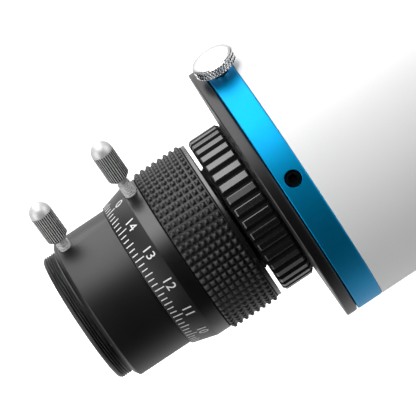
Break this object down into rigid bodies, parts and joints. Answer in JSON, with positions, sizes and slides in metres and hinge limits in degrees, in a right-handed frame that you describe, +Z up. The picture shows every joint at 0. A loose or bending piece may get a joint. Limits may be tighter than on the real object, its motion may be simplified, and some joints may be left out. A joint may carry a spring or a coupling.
{
  "type": "guide telescope",
  "caption": "Short guide telescope with a scaled helical focuser, rotator, thumb screws, retractable dew shield and dovetail foot.",
  "frame": {"origin": "point of the flat underside of the dovetail foot, below the optical axis and the middle of the saddle", "axes": "+X along the optical axis towards the objective, +Z up through the thumb screws"},
  "size_m": [0.2859, 0.09, 0.1108],
  "materials": {
    "white_paint": "satin",
    "blue_anodised": "satin",
    "black_anodised": "satin",
    "black_matt": "matte",
    "polished_steel": "polished",
    "dark_steel": "satin",
    "brass": "satin",
    "nylon": "matte",
    "felt": "matte",
    "lens_glass": "polished"
  },
  "bodies": {
    "optical_tube": {"main_tube": "white_paint", "rear_collar": "blue_anodised", "collar_set_screw_1": "dark_steel", "collar_set_screw_2": "dark_steel", "collar_set_screw_3": "dark_steel", "baffle_1": "black_matt", "baffle_2": "black_matt", "objective_cell": "black_anodised", "flint_lens": "lens_glass", "crown_lens": "lens_glass", "lens_spacer": "nylon", "lens_retaining_ring": "black_anodised", "foot_saddle": "black_anodised", "dovetail_bar": "black_anodised", "bar_screw_rear": "dark_steel", "bar_screw_front": "dark_steel", "saddle_screw_rear": "dark_steel", "saddle_screw_front": "dark_steel"},
    "focuser": {"rotator_flange": "black_anodised", "neck_tube": "black_anodised", "neck_nut": "black_anodised", "guide_pin_1": "dark_steel", "guide_pin_2": "dark_steel", "guide_pin_3": "dark_steel", "thrust_washer_rear": "nylon", "thrust_washer_front": "nylon"},
    "rotator_pad": {"rotator_lock_pad": "brass"},
    "rotator_knob": {"rotator_lock_knob": "polished_steel"},
    "lock_washer": {"lock_ring_washer": "nylon"},
    "lock_ring": {"lock_ring": "black_anodised"},
    "focus_ring": {"scale_thimble": "black_anodised", "grip_ring": "black_anodised", "bearing_retaining_ring": "black_anodised"},
    "draw_tube": {"draw_tube": "black_anodised", "eyepiece_clamp_ring": "brass"},
    "focus_lock_tip": {"focus_lock_tip": "nylon"},
    "focus_lock_screw": {"focus_lock_screw": "polished_steel"},
    "clamp_tip": {"eyepiece_clamp_tip": "nylon"},
    "clamp_screw": {"eyepiece_clamp_screw": "polished_steel"},
    "dew_shield": {"dew_shield": "white_paint", "dew_shield_liner": "felt"}
  },
  "joints": [
    {"name": "focuser_rotation", "type": "hinge", "parent": "optical_tube", "child": "focuser", "pos_m": [-0.05202, 0, 0.0624], "axis": [1, 0, 0], "continuous": true},
    {"name": "rotator_lock_travel", "type": "slide", "parent": "optical_tube", "child": "rotator_pad", "axis": [0, 0, 1], "range_m": [0, 0.0024]},
    {"name": "rotator_lock_turn", "type": "hinge", "parent": "rotator_pad", "child": "rotator_knob", "pos_m": [-0.05202, 0, 0.107], "axis": [0, 0, 1], "range_deg": [0, 1081]},
    {"name": "lock_ring_travel", "type": "slide", "parent": "focuser", "child": "lock_washer", "axis": [-1, 0, 0], "range_m": [0, 0.00116]},
    {"name": "lock_ring_turn", "type": "hinge", "parent": "lock_washer", "child": "lock_ring", "pos_m": [-0.066, 0, 0.0624], "axis": [1, 0, 0], "range_deg": [-414, 0]},
    {"name": "focus_turn", "type": "hinge", "parent": "focuser", "child": "focus_ring", "pos_m": [-0.09, 0, 0.0624], "axis": [1, 0, 0], "range_deg": [0, 336]},
    {"name": "draw_tube_travel", "type": "slide", "parent": "focuser", "child": "draw_tube", "axis": [-1, 0, 0], "range_m": [0, 0.01401]},
    {"name": "focus_lock_travel", "type": "slide", "parent": "focus_ring", "child": "focus_lock_tip", "axis": [0, 0, 1], "range_m": [0, 0.0021]},
    {"name": "focus_lock_turn", "type": "hinge", "parent": "focus_lock_tip", "child": "focus_lock_screw", "pos_m": [-0.0928, 0, 0.0943], "axis": [0, 0, 1], "range_deg": [0, 1081]},
    {"name": "clamp_travel", "type": "slide", "parent": "draw_tube", "child": "clamp_tip", "axis": [0, 0, 1], "range_m": [0, 0.0021]},
    {"name": "clamp_turn", "type": "hinge", "parent": "clamp_tip", "child": "clamp_screw", "pos_m": [-0.1173, 0, 0.089], "axis": [0, 0, 1], "range_deg": [0, 1081]},
    {"name": "dew_shield_slide", "type": "slide", "parent": "optical_tube", "child": "dew_shield", "axis": [-1, 0, 0], "range_m": [0, 0.04]}
  ],
  "couplings": [
    {"joint": "rotator_lock_turn", "follows": "rotator_lock_travel", "rad_per_m": 7854},
    {"joint": "lock_ring_travel", "follows": "lock_ring_turn", "m_per_rad": -0.00015915},
    {"joint": "draw_tube_travel", "follows": "focus_turn", "m_per_rad": 0.0023873},
    {"joint": "focus_lock_turn", "follows": "focus_lock_travel", "rad_per_m": 8976},
    {"joint": "clamp_turn", "follows": "clamp_travel", "rad_per_m": 8976}
  ]
}
